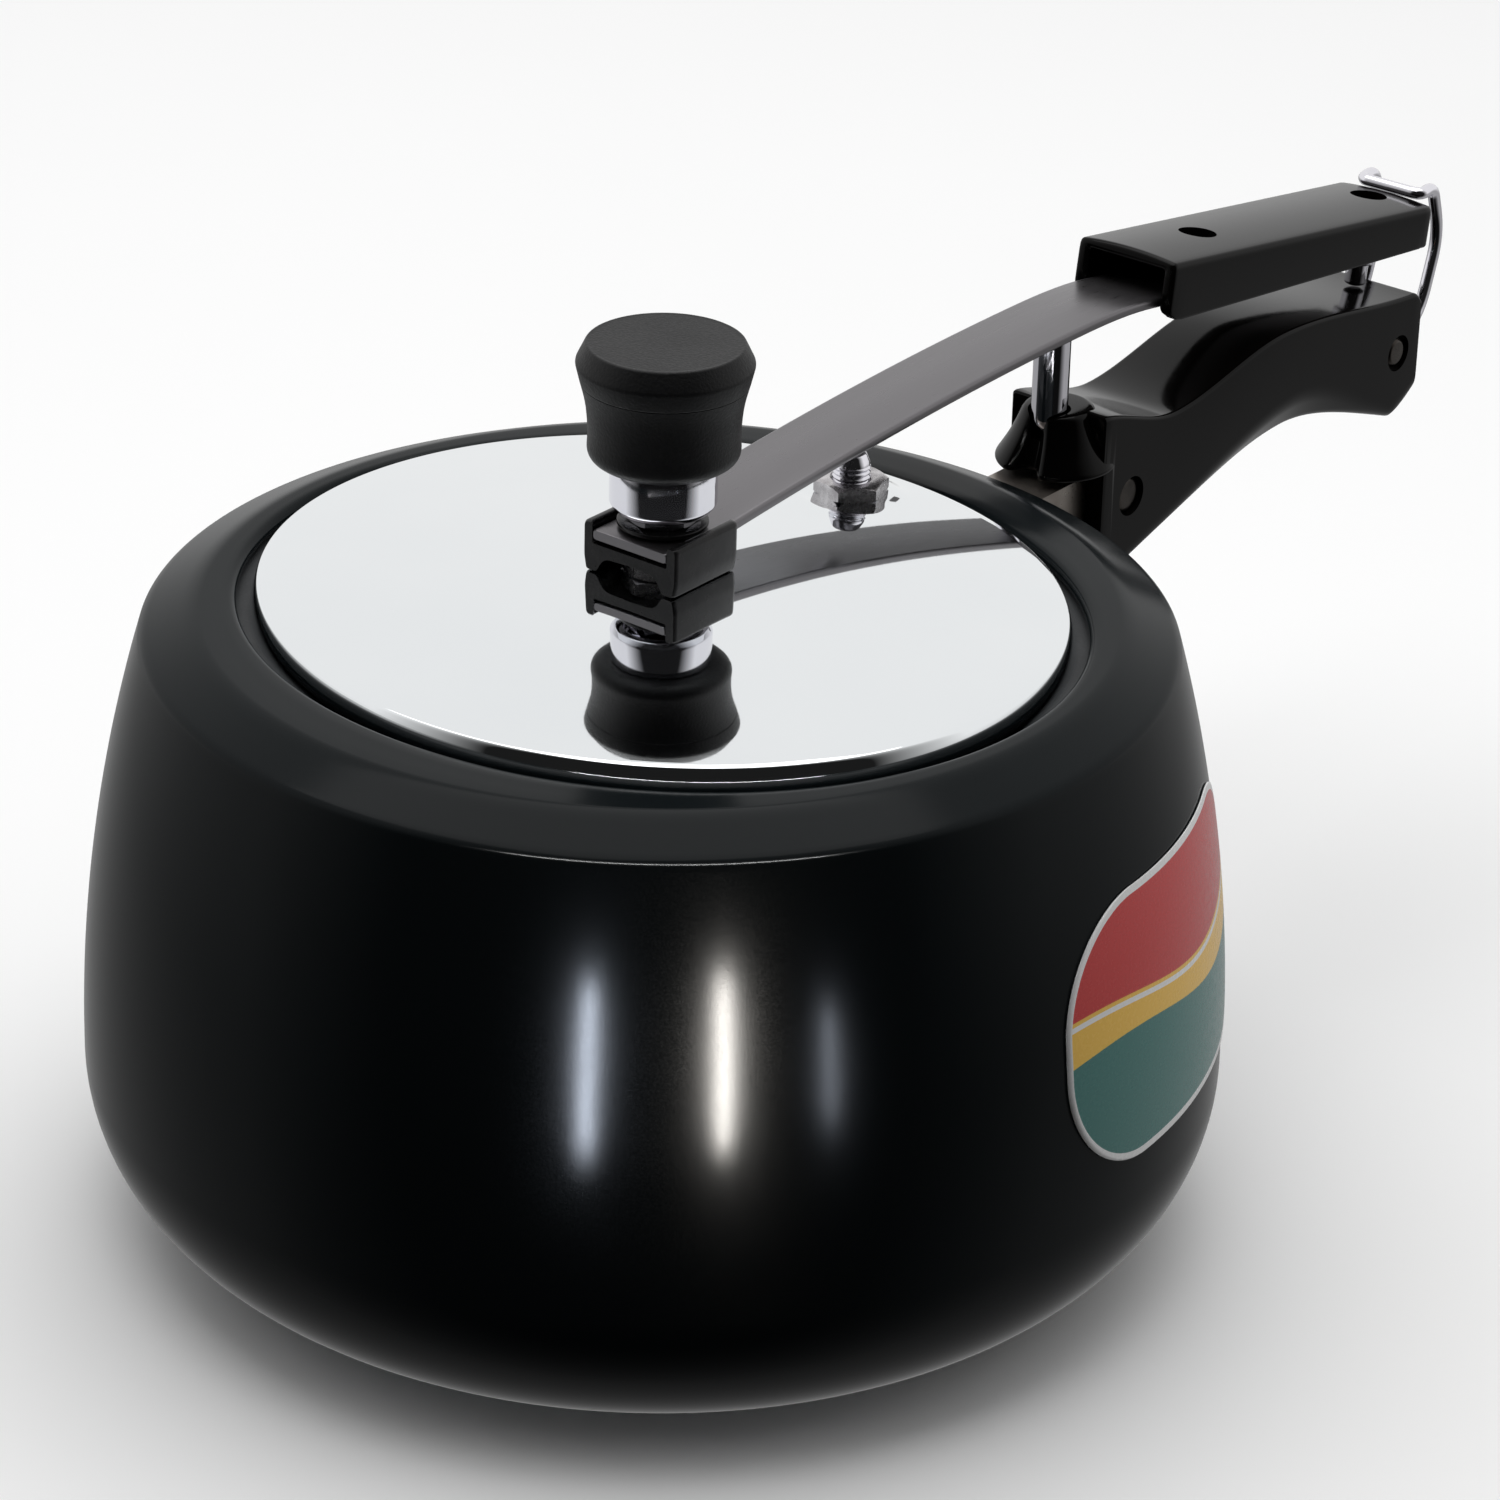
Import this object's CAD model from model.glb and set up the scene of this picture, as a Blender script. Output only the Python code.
# %% [markdown]
# # A stovetop pressure cooker in Blender
# The cooker is a dark pot with an oval mouth. Its polished lid sits inside the mouth, and a
# steel lever bar pulls it up against the rim. The sizes and the moving bodies come from the CAD
# frame, so this file is about surfaces and finishes. Every shape is a sheet of numbers worked
# out with numpy, because a formula is easy to read, to change and to repeat.

# %% Load the frame
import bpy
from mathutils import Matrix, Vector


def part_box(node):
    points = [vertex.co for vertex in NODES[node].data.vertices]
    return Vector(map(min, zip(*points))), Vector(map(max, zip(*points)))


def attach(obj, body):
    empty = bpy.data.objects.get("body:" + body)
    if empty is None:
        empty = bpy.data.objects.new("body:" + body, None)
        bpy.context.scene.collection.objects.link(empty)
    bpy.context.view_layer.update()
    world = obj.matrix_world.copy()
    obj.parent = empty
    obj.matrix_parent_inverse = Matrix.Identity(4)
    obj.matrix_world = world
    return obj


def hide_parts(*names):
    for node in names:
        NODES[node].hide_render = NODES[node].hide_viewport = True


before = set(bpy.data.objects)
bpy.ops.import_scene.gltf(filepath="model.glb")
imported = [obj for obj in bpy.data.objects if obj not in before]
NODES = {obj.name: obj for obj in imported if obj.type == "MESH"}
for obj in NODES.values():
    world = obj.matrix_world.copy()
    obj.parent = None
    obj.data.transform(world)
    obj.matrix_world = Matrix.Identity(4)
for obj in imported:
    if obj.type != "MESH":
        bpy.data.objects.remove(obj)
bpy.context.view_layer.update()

import bpy
import bmesh
import numpy as np
from mathutils import Matrix, Vector

MM = 0.001

# %% [markdown]
# ## Surfaces from grids
# A sheet of points with rows and columns can be a dish, a tube or a handle. A row whose points
# all meet in one place is a pole, so welding the doubles closes the shape. The alternatives are
# primitives and modelling by hand, and neither follows a measured profile so closely.

# %% Grid, weld and shade
def grid_faces(rows, cols, wrap_cols):
    """Face (i, j) joins points (i, j), (i+1, j), (i+1, j+1) and (i, j+1)."""
    i, j = np.meshgrid(np.arange(rows - 1), np.arange(cols if wrap_cols else cols - 1), indexing="ij")
    k = (j + 1) % cols
    quads = np.stack([i * cols + j, (i + 1) * cols + j, (i + 1) * cols + k, i * cols + k], -1)
    return quads.reshape(-1, 4)


def mesh_object(name, points, faces, crisp=32.0, uv=None):
    """An object from points in metres; edges sharper than `crisp` degrees stay crisp."""
    mesh = bpy.data.meshes.new(name)
    mesh.from_pydata(points.reshape(-1, 3).tolist(), [], faces.tolist())
    if uv is not None:
        layer = mesh.uv_layers.new(name="own")
        loops = np.empty(len(mesh.loops), dtype=np.int32)
        mesh.loops.foreach_get("vertex_index", loops)
        layer.data.foreach_set("uv", uv.reshape(-1, 2)[loops].astype(np.float32).ravel())
    obj = bpy.data.objects.new(name, mesh)
    bpy.context.scene.collection.objects.link(obj)
    weld_and_shade(obj, crisp)
    return obj


def weld_and_shade(obj, crisp=32.0):
    """Merges doubled points, turns every face outwards and marks the crisp edges."""
    work = bmesh.new()
    work.from_mesh(obj.data)
    bmesh.ops.remove_doubles(work, verts=work.verts, dist=1e-6)
    bmesh.ops.recalc_face_normals(work, faces=work.faces)
    work.to_mesh(obj.data)
    work.free()
    obj.data.polygons.foreach_set("use_smooth", np.ones(len(obj.data.polygons), dtype=bool))
    obj.data.set_sharp_from_angle(angle=np.radians(crisp))
    obj.data.update()


def sheet_object(name, grid, wrap=True, crisp=32.0, uv=None):
    """An object from one grid of points, shape (rows, columns, 3), in millimetres."""
    rows, cols = grid.shape[:2]
    return mesh_object(name, grid * MM, grid_faces(rows, cols, wrap), crisp, uv)


def closed_ends(name, grid, crisp=32.0):
    """A carried section whose two end rows are each closed by one many-sided face."""
    rows, cols = grid.shape[:2]
    faces = grid_faces(rows, cols, True).tolist()
    faces += [list(range(cols))[::-1], list(range((rows - 1) * cols, rows * cols))]
    mesh = bpy.data.meshes.new(name)
    mesh.from_pydata((grid * MM).reshape(-1, 3).tolist(), [], faces)
    obj = bpy.data.objects.new(name, mesh)
    bpy.context.scene.collection.objects.link(obj)
    weld_and_shade(obj, crisp)
    return obj


def joined(name, parts, crisp=32.0):
    """One object from several, as castings and weldments are one piece of several forms."""
    points, faces, start = [], [], 0
    for part in parts:
        points += [tuple(v.co) for v in part.data.vertices]
        faces += [tuple(start + n for n in p.vertices) for p in part.data.polygons]
        start = len(points)
        bpy.data.objects.remove(part)
    mesh = bpy.data.meshes.new(name)
    mesh.from_pydata(points, [], faces)
    obj = bpy.data.objects.new(name, mesh)
    bpy.context.scene.collection.objects.link(obj)
    mesh.polygons.foreach_set("use_smooth", np.ones(len(mesh.polygons), dtype=bool))
    mesh.set_sharp_from_angle(angle=np.radians(crisp))
    return obj


def applied(obj, crisp=32.0):
    """The object with its modifiers worked into its mesh."""
    graph = bpy.context.evaluated_depsgraph_get()
    mesh = bpy.data.meshes.new_from_object(obj.evaluated_get(graph))
    obj.modifiers.clear()
    obj.data = mesh
    mesh.polygons.foreach_set("use_smooth", np.ones(len(mesh.polygons), dtype=bool))
    mesh.set_sharp_from_angle(angle=np.radians(crisp))
    return obj


def carved(obj, cutters, crisp=32.0):
    """The object less each cutter: holes and pockets, as a drill or a core pin leaves them."""
    for cutter in cutters:
        step = obj.modifiers.new("cut", "BOOLEAN")
        step.operation, step.solver, step.object = "DIFFERENCE", "EXACT", cutter
    applied(obj, crisp)
    for cutter in cutters:
        bpy.data.objects.remove(cutter)
    return obj


# %% [markdown]
# ## Turned parts
# The weight, the pillar and the valve are turned or moulded round. A half outline spun about an
# axis makes them, and every corner of the outline gets a small radius, because a real edge is
# never a perfect knife and its highlight shows the shape.

# %% Rounded outlines and lathe
def rounded(corners, radius=0.4, steps=4):
    """Each inner corner becomes the Bezier curve from `radius` before it to `radius` after it."""
    p = np.asarray(corners, float)
    r = np.broadcast_to(np.asarray(radius, float), len(p))
    out = [p[:1]]
    t = np.linspace(0, 1, steps + 1)[:, None]
    for a, b, c, rb in zip(p[:-2], p[1:-1], p[2:], r[1:-1]):
        la, lc = np.linalg.norm(a - b), np.linalg.norm(c - b)
        if rb <= 0 or min(la, lc) < 1e-9:
            out.append(b[None])
            continue
        s, e = b + (a - b) * min(rb / la, 0.49), b + (c - b) * min(rb / lc, 0.49)
        out.append((1 - t) ** 2 * s + 2 * t * (1 - t) * b + t ** 2 * e)
    return np.concatenate(out + [p[-1:]])


def spun(profile, segments=96, centre=(0, 0, 0)):
    """Point (i, j) is profile[i] = (r, z) turned about Z by j steps of a full turn."""
    a = np.linspace(0, 2 * np.pi, segments, endpoint=False)
    r, z = np.asarray(profile, float).T
    grid = np.stack([np.outer(r, np.cos(a)), np.outer(r, np.sin(a)), np.outer(z, np.ones(segments))], -1)
    return grid + np.asarray(centre, float)


def closed(profile):
    """The profile with its first point again at the end, for a ring with a hole."""
    return np.concatenate([profile, profile[:1]])


def turned_ring(inner, outer, low, high, ease, segments=72, centre=(0, 0, 0)):
    """A ring with eased corners between two radii and two heights."""
    section = [(inner, low), (outer, low), (outer, high), (inner, high)]
    return spun(closed(rounded(section, ease)), segments, centre)


def mirrored(side):
    """A closed outline from its right half, whose first and last points lie on the middle line."""
    return np.concatenate([side, (side * np.array([-1, 1]))[::-1][1:-1]])


def along_y(grid, centre):
    """A form spun about Z, laid along Y with its foot at the centre."""
    turned = np.stack([grid[..., 0], grid[..., 2], -grid[..., 1]], -1)
    return turned + np.asarray(centre, float)


def cutter(grid):
    """A hidden tool for `carved`, made of one closed sheet."""
    return sheet_object("cutter", grid)


def box_of(node):
    """Lowest and highest corner of a CAD node, in millimetres."""
    low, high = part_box(node)
    return np.array(low) / MM, np.array(high) / MM


# %% [markdown]
# ## Sizes from the frame
# The frame gives each node's box, so the places below follow the CAD: the belly's radius, the
# rim, the pillar, and the slope that both handles share.

# %% Places on the cooker
BELLY_R = box_of("vessel")[1][0]
RIM_Z = box_of("vessel")[1][2]
WALL = 3.0
BASE_ROUND = 32.0
SHOULDER_R, SHOULDER_Z = BELLY_R - 11.5, RIM_Z - 4.2
FLAT_R = SHOULDER_R - 14 + 4.5
MOUTH_X, MOUTH_Y = SHOULDER_R - 14 - 6.3, SHOULDER_R - 14
pillar_low, pillar_high = box_of("fulcrum_pillar")
PILLAR_X = (pillar_low[0] + pillar_high[0]) / 2
PILLAR_D = pillar_high[0] - pillar_low[0]
BAR_TOP = box_of("bar_bracket")[1][2] - 1.3
BAR_T, BAR_W = 2.0, 16.6
APEX_Z = BAR_TOP + 5.6
SLOPE = np.radians(8.65)
GRIP_X, GRIP_Z = PILLAR_X + 22, APEX_Z - 1.4
GRIP_L = 94.0
NOSE_X, NOSE_TOP = PILLAR_X + 3, APEX_Z - 19.3
END_X = GRIP_X + GRIP_L * np.cos(SLOPE)
BOLT = np.array([NOSE_X + 10, RIM_Z - 18.5])
PIVOT = np.array([END_X - 8, RIM_Z - 17.5])
print("belly radius", round(BELLY_R, 2), "rim", round(RIM_Z, 2), "handle end", round(END_X, 2))


# %% [markdown]
# ## Shader groups
# Fine grain, faint rub marks and brushing appear on several finishes. Each is one node group
# that gives out a varying colour, roughness or bump height, so that a material only chooses its
# own values. The shaders themselves stay in the materials.

# %% Group builder
def new_group(name, inputs, outputs):
    """An empty shader group with the named sockets, and its two end nodes."""
    group = bpy.data.node_groups.new(name, "ShaderNodeTree")
    for label, kind, value in inputs:
        socket = group.interface.new_socket(label, in_out="INPUT", socket_type=kind)
        socket.default_value = value
    for label, kind in outputs:
        group.interface.new_socket(label, in_out="OUTPUT", socket_type=kind)
    return group, group.nodes.new("NodeGroupInput"), group.nodes.new("NodeGroupOutput")


def add(tree, kind, **values):
    """A node with its settings; a setting named in_N is the default of input N."""
    node = tree.nodes.new(kind)
    for key, value in values.items():
        if key.startswith("in_"):
            node.inputs[int(key[3:])].default_value = value
        else:
            setattr(node, key, value)
    return node


def ranged(tree, socket, low, high, from_low=0.3, from_high=0.7):
    """The socket's value carried from one range to another, held at both ends."""
    node = tree.nodes.new("ShaderNodeMapRange")
    tree.links.new(socket, node.inputs["Value"])
    for key, value in (("From Min", from_low), ("From Max", from_high), ("To Min", low), ("To Max", high)):
        if isinstance(value, (int, float)):
            node.inputs[key].default_value = value
        else:
            tree.links.new(value, node.inputs[key])
    return node.outputs[0]


# %% Finish group: tone, roughness and bump height from the object's own place
FLOAT, COLOR = "NodeSocketFloat", "NodeSocketColor"


def finish_group():
    """Tone = colour mixed by slow noise; roughness by finer noise; height = grain + slow dents."""
    group, g_in, g_out = new_group(
        "worked_finish",
        [("Light", COLOR, (0.5, 0.5, 0.5, 1)), ("Dark", COLOR, (0.4, 0.4, 0.4, 1)),
         ("Smooth", FLOAT, 0.2), ("Rough", FLOAT, 0.3), ("Grain Scale", FLOAT, 3000.0),
         ("Tone Scale", FLOAT, 40.0), ("Stretch X", FLOAT, 1.0), ("Stretch Y", FLOAT, 1.0),
         ("Stretch Z", FLOAT, 1.0)],
        [("Color", COLOR), ("Roughness", FLOAT), ("Height", FLOAT)])
    link = group.links.new
    place = add(group, "ShaderNodeTexCoord")
    stretch = add(group, "ShaderNodeCombineXYZ")
    for n, label in enumerate(("Stretch X", "Stretch Y", "Stretch Z")):
        link(g_in.outputs[label], stretch.inputs[n])
    scaled = add(group, "ShaderNodeVectorMath", operation="MULTIPLY")
    link(place.outputs["Object"], scaled.inputs[0])
    link(stretch.outputs[0], scaled.inputs[1])
    tone = add(group, "ShaderNodeTexNoise")
    tone.inputs["Detail"].default_value = 4
    grain = add(group, "ShaderNodeTexNoise")
    grain.inputs["Detail"].default_value = 3
    for noise, label in ((tone, "Tone Scale"), (grain, "Grain Scale")):
        link(scaled.outputs[0], noise.inputs["Vector"])
        link(g_in.outputs[label], noise.inputs["Scale"])
    mix = add(group, "ShaderNodeMix", data_type="RGBA")
    link(ranged(group, tone.outputs[0], 0.0, 1.0), mix.inputs["Factor"])
    link(g_in.outputs["Light"], mix.inputs["A"])
    link(g_in.outputs["Dark"], mix.inputs["B"])
    blend = add(group, "ShaderNodeMath", operation="ADD")
    link(tone.outputs[0], blend.inputs[0])
    link(grain.outputs[0], blend.inputs[1])
    link(mix.outputs["Result"], g_out.inputs["Color"])
    rough = ranged(group, blend.outputs[0], g_in.outputs["Smooth"], g_in.outputs["Rough"], 0.7, 1.3)
    link(rough, g_out.inputs["Roughness"])
    link(grain.outputs[0], g_out.inputs["Height"])
    return group


FINISH = finish_group()
print("group", FINISH.name, "has", len(FINISH.nodes), "nodes")

# %% Material from the finish group
def finish(name, light, dark, smooth, rough, metallic=0.0, grain=3000.0, tone=40.0,
           stretch=(1, 1, 1), bump=0.05, depth=0.0001, specular=0.5, coat=0.0, coat_rough=0.05):
    """A Principled material whose colour, roughness and bump come from the finish group."""
    material = bpy.data.materials.new(name)
    material.use_nodes = True
    tree = material.node_tree
    shader = tree.nodes["Principled BSDF"]
    group = add(tree, "ShaderNodeGroup", node_tree=FINISH)
    values = {"Light": (*light, 1), "Dark": (*dark, 1), "Smooth": smooth, "Rough": rough,
              "Grain Scale": grain, "Tone Scale": tone, "Stretch X": stretch[0],
              "Stretch Y": stretch[1], "Stretch Z": stretch[2]}
    for key, value in values.items():
        group.inputs[key].default_value = value
    tree.links.new(group.outputs["Color"], shader.inputs["Base Color"])
    tree.links.new(group.outputs["Roughness"], shader.inputs["Roughness"])
    relief = add(tree, "ShaderNodeBump")
    relief.inputs["Strength"].default_value = bump
    relief.inputs["Distance"].default_value = depth
    tree.links.new(group.outputs["Height"], relief.inputs["Height"])
    tree.links.new(relief.outputs[0], shader.inputs["Normal"])
    shader.inputs["Metallic"].default_value = metallic
    shader.inputs["Specular IOR Level"].default_value = specular
    shader.inputs["Coat Weight"].default_value = coat
    shader.inputs["Coat Roughness"].default_value = coat_rough
    return material


# %% [markdown]
# ## Finishes
# The pot is hard-anodised aluminium: dark charcoal with a satin sheen. The lid is
# mirror-polished steel with the faintest circular polish. The handles are glossy moulded
# phenolic, the weight is textured plastic, and the small parts are chrome, zinc and brass.

# %% The cooker's materials
anodised = finish("anodised charcoal", (0.0058, 0.0078, 0.0088), (0.0042, 0.0058, 0.0066), 0.13, 0.19,
                  grain=2600, tone=22, bump=0.10, depth=0.00003, specular=0.075)
mirror = finish("mirror steel", (0.86, 0.88, 0.89), (0.82, 0.845, 0.86), 0.015, 0.045, metallic=1.0,
                grain=900, tone=14, bump=0.012, depth=0.00002)
bakelite = finish("moulded bakelite", (0.0016, 0.0015, 0.0016), (0.0034, 0.0028, 0.0024), 0.07, 0.13,
                  grain=700, tone=30, bump=0.03, depth=0.00005, specular=0.11)
bar_steel = finish("dark satin steel", (0.190, 0.182, 0.190), (0.140, 0.134, 0.140), 0.26, 0.36,
                   metallic=0.9, grain=2200, tone=30, stretch=(0.06, 1, 1), bump=0.10, depth=0.00005)
screw_steel = finish("dulled screw steel", (0.060, 0.052, 0.045), (0.030, 0.026, 0.023), 0.24, 0.42,
                     metallic=0.9, grain=1500, tone=260, bump=0.2, depth=0.00008)
chrome = finish("chrome", (0.80, 0.79, 0.83), (0.74, 0.73, 0.79), 0.04, 0.10, metallic=1.0,
                grain=1500, tone=60, bump=0.02, depth=0.00003)
zinc = finish("zinc plate", (0.62, 0.60, 0.61), (0.40, 0.38, 0.39), 0.18, 0.36, metallic=1.0,
              grain=1800, tone=420, bump=0.22, depth=0.00009)
black_steel = finish("blackened steel", (0.0070, 0.0070, 0.0075), (0.018, 0.017, 0.0175), 0.12, 0.30,
                     metallic=0.3, grain=1400, tone=260, bump=0.25, depth=0.00008, specular=0.25)
textured = finish("textured black plastic", (0.0040, 0.0040, 0.0043), (0.0064, 0.0064, 0.0070), 0.40, 0.54,
                  grain=1900, tone=60, bump=0.45, depth=0.00016, specular=0.22)
rubber = finish("gasket rubber", (0.030, 0.032, 0.034), (0.022, 0.023, 0.025), 0.55, 0.70,
                grain=2400, tone=50, bump=0.20, depth=0.00008, specular=0.3)
brass = finish("machined brass", (0.62, 0.46, 0.22), (0.50, 0.36, 0.16), 0.16, 0.28, metallic=1.0,
               grain=2600, tone=120, stretch=(1, 1, 6), bump=0.12, depth=0.00005)
bracket_steel = finish("satin bracket steel", (0.34, 0.31, 0.28), (0.22, 0.19, 0.17), 0.26, 0.42,
                       metallic=0.9, grain=1600, tone=160, bump=0.15, depth=0.00008)
rivet_metal = finish("rivet aluminium", (0.62, 0.63, 0.64), (0.52, 0.53, 0.54), 0.28, 0.42,
                     metallic=1.0, grain=2000, tone=200, bump=0.12, depth=0.00006)
fuse_alloy = finish("fuse alloy", (0.42, 0.43, 0.45), (0.32, 0.33, 0.35), 0.38, 0.55, metallic=1.0,
                    grain=1500, tone=300, bump=0.2, depth=0.00008)
print(len(bpy.data.materials), "finishes made")


# %% Give a piece its finish, body and CAD node
MADE = []


def place(piece, material, body, slot_name, *nodes):
    """Dresses the piece, hides the CAD nodes that it stands for, and rides it on its body."""
    piece.data.materials.clear()
    piece.data.materials.append(material)
    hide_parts(*nodes)
    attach(piece, body)
    MADE.append(piece.name)
    print(piece.name, len(piece.data.polygons), "faces")
    return piece


# %% [markdown]
# ## The pot
# One sheet runs from the middle of the base, out round the belly, over the shoulder to the lip
# and back inside. Outside the rim every ring is a circle. Across the rim the rings turn into the
# oval of the mouth, so that the lid can be tipped in edgeways.

# %% Vessel shell
def hermite(a, b, slope_a, slope_b, steps):
    """Cubic from a to b whose ends have the given slopes dz/dx."""
    t = np.linspace(0, 1, steps + 1)
    dx = b[0] - a[0]
    z = ((2 * t**3 - 3 * t**2 + 1) * a[1] + (t**3 - 2 * t**2 + t) * dx * slope_a
         + (3 * t**2 - 2 * t**3) * b[1] + (t**3 - t**2) * dx * slope_b)
    return np.stack([a[0] + t * dx, z], -1)


SIDE_R = ((SHOULDER_Z - BASE_ROUND) ** 2 + (BELLY_R - SHOULDER_R) ** 2) / (2 * (BELLY_R - SHOULDER_R))
SIDE_A = np.arcsin((SHOULDER_Z - BASE_ROUND) / SIDE_R)


def side_r(z, depth=0.0):
    """Radius of the belly's arc at height z, `depth` inside the skin."""
    return BELLY_R - SIDE_R + np.sqrt((SIDE_R - depth) ** 2 - (z - BASE_ROUND) ** 2)


def pot_outline(depth):
    """(r, z) from the base's middle to the flat of the rim, `depth` inside the skin."""
    down = np.linspace(-np.pi / 2, 0, 25)
    base = np.array([BELLY_R - BASE_ROUND, BASE_ROUND])
    bend = base + (BASE_ROUND - depth) * np.stack([np.cos(down), np.sin(down)], -1)
    up = np.linspace(0.02, SIDE_A * 0.975, 32)
    middle = np.array([BELLY_R - SIDE_R, BASE_ROUND])
    side = middle + (SIDE_R - depth) * np.stack([np.cos(up), np.sin(up)], -1)
    shoulder = np.array([[side_r(SHOULDER_Z, depth), SHOULDER_Z - depth * 0.9],
                         [FLAT_R - depth * 0.18, RIM_Z - depth],
                         [MOUTH_Y + 2.0, RIM_Z - depth]])
    edge = rounded(np.concatenate([side[-1:], shoulder]), [0, 1.7, 2.6, 0], 8)
    return np.concatenate([[[0, depth]], [[base[0] * 0.5, depth]], bend, side[:-1], edge])


def mouth_r(a, grow=0.0):
    """Radius of the oval mouth in direction a: an ellipse, longer across the handles."""
    p, q = MOUTH_X + grow, MOUTH_Y + grow
    return p * q / np.sqrt((q * np.cos(a)) ** 2 + (p * np.sin(a)) ** 2)


def vessel_sheet(segments=256):
    """Circles up to the rim's flat, then rings that blend into the oval lip and turn inwards."""
    a = np.linspace(0, 2 * np.pi, segments, endpoint=False)
    outer, inner = pot_outline(0.0)[:-1], pot_outline(WALL)[:-1][::-1]
    turn = np.linspace(np.pi / 2, -np.pi / 2, 9)
    lip_r, lip_z = -1.5 * np.cos(turn), RIM_Z - WALL / 2 + (WALL / 2) * np.sin(turn)
    rings = [np.stack([np.full(segments, r), np.full(segments, z)], -1) for r, z in outer]
    for share in (0.35, 0.7):
        start = outer[-1][0]
        rings.append(np.stack([start + (mouth_r(a, 1.5) - start) * share, np.full(segments, RIM_Z)], -1))
    rings += [np.stack([mouth_r(a, 1.5 + dr), np.full(segments, z)], -1) for dr, z in zip(lip_r, lip_z)]
    for share in (0.7, 0.35):
        start = inner[0][0]
        rings.append(np.stack([start + (mouth_r(a, 1.5) - start) * share,
                               np.full(segments, RIM_Z - WALL)], -1))
    rings += [np.stack([np.full(segments, r), np.full(segments, z)], -1) for r, z in inner]
    ring = np.array(rings)
    return np.stack([ring[..., 0] * np.cos(a), ring[..., 0] * np.sin(a), ring[..., 1]], -1)


pot = place(sheet_object("pot_shell", vessel_sheet(), crisp=60), anodised, "pot", "anodised_body", "vessel")

# %% [markdown]
# ## The lid and its gasket
# The lid is a shallow oval dish with a crowned middle, pressed from steel and polished. A height
# formula gives its top, and the underside is the same sheet moved down by its thickness. The
# rubber gasket is a small C that grips the flange all the way round.

# %% Lid
LID_T = 2.0
FLANGE_TOP = RIM_Z - WALL - 0.12 - 0.8
FOOT_Z, CROWN = FLANGE_TOP + 6.0, 4.2
FOOT_R, ROLL_R = MOUTH_X - 3.6, MOUTH_X - 1.4
VALVE_X = MOUTH_X - 16.5


def lid_height(r):
    """A parabola over the crown, then half a cosine wave down to the flange."""
    crown = FOOT_Z + CROWN * (1 - (r / FOOT_R) ** 2)
    roll = FOOT_Z - 3.0 * (1 - np.cos(np.pi * np.clip((r - FOOT_R) / (ROLL_R - FOOT_R), 0, 1)))
    return np.where(r <= FOOT_R, crown, roll)


PAD_Z = float(lid_height(np.array(VALVE_X))) + 0.1


def lid_sheet(segments=256):
    """Rings stretched to the mouth's oval; a flat pad is pressed in where the valve sits."""
    a = np.linspace(0, 2 * np.pi, segments, endpoint=False)
    r = np.concatenate([np.linspace(0, FOOT_R, 60), np.linspace(FOOT_R, ROLL_R, 18)[1:], [MOUTH_X + 2.6]])
    stretch = mouth_r(a) / MOUTH_X
    x, y = np.outer(r, stretch * np.cos(a)), np.outer(r, stretch * np.sin(a))
    z = np.repeat(lid_height(r)[:, None], segments, 1)
    away = np.hypot(x - VALVE_X, y)
    share = 1 - np.clip((away - 7.2) / 3.5, 0, 1)
    share = share * share * (3 - 2 * share)
    z = z + (PAD_Z - z) * share
    top = np.stack([x, y, z], -1)
    under = top[::-1] - np.array([0, 0, LID_T])
    turn = np.linspace(np.pi / 2, -np.pi / 2, 7)[1:-1]
    rim = [np.stack([(mouth_r(a, 2.9) + np.cos(t)) * np.cos(a), (mouth_r(a, 2.9) + np.cos(t)) * np.sin(a),
                     np.full(segments, FLANGE_TOP - 1 + np.sin(t))], -1) for t in turn]
    return np.concatenate([top, np.array(rim), under])


lid = place(sheet_object("inner_lid", lid_sheet(), crisp=60), mirror, "lid_assembly", "mirror_steel", "lid")


# %% Gasket
def gasket_sheet(segments=256):
    """A C-shaped section carried round the oval: two lips over the flange and a rounded back."""
    a = np.linspace(0, 2 * np.pi, segments, endpoint=False)
    section = rounded([(-4.5, 0.75), (2.6, 0.75), (5.3, -0.2), (5.5, -2.4), (3.6, -3.3), (-4.5, -3.3),
                       (-4.5, -2.1), (4.1, -2.1), (4.1, 0.05), (-4.5, 0.05), (-4.5, 0.75)],
                      [0, 0.5, 0.9, 1.0, 0.9, 0.2, 0.2, 0.3, 0.3, 0.2, 0], 4)
    rings = [np.stack([mouth_r(a, grow) * np.cos(a), mouth_r(a, grow) * np.sin(a),
                       np.full(segments, FLANGE_TOP + up)], -1) for grow, up in section]
    return np.array(rings)


place(sheet_object("gasket_ring", gasket_sheet()), rubber, "lid_assembly", "gasket_rubber", "gasket")

# %% [markdown]
# ## The lever bar
# A flat steel bar arches from the lid's centre over the pillar and down into the grip. Its
# section is a rectangle with eased edges, carried along the curve of its top. Near the inner
# end it is flat, where the bracket holds it.

# %% Bar
def arc_offset(path):
    """Unit directions along a path in the plane of X and Z, and the directions up from it."""
    d = np.gradient(path, axis=0)
    d /= np.linalg.norm(d, axis=1, keepdims=True)
    return d, np.stack([-d[:, 1], d[:, 0]], -1)


def eased_rectangle(width, low, high, ease, steps=4):
    """(across, up) round a rectangle whose corners have the radius `ease`."""
    ring = rounded([(0, high), (width / 2, high), (width / 2, low), (-width / 2, low),
                    (-width / 2, high), (0, high)], ease, steps)
    return ring[:-1]


def carried(path, sections):
    """Section i, as (across, up) points, set square to the path at its point i."""
    _, up = arc_offset(path)
    grid = np.zeros((len(path), sections.shape[1], 3))
    grid[..., 1] = sections[..., 0]
    grid[..., 0] = path[:, None, 0] + sections[..., 1] * up[:, None, 0]
    grid[..., 2] = path[:, None, 1] + sections[..., 1] * up[:, None, 1]
    return grid


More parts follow.
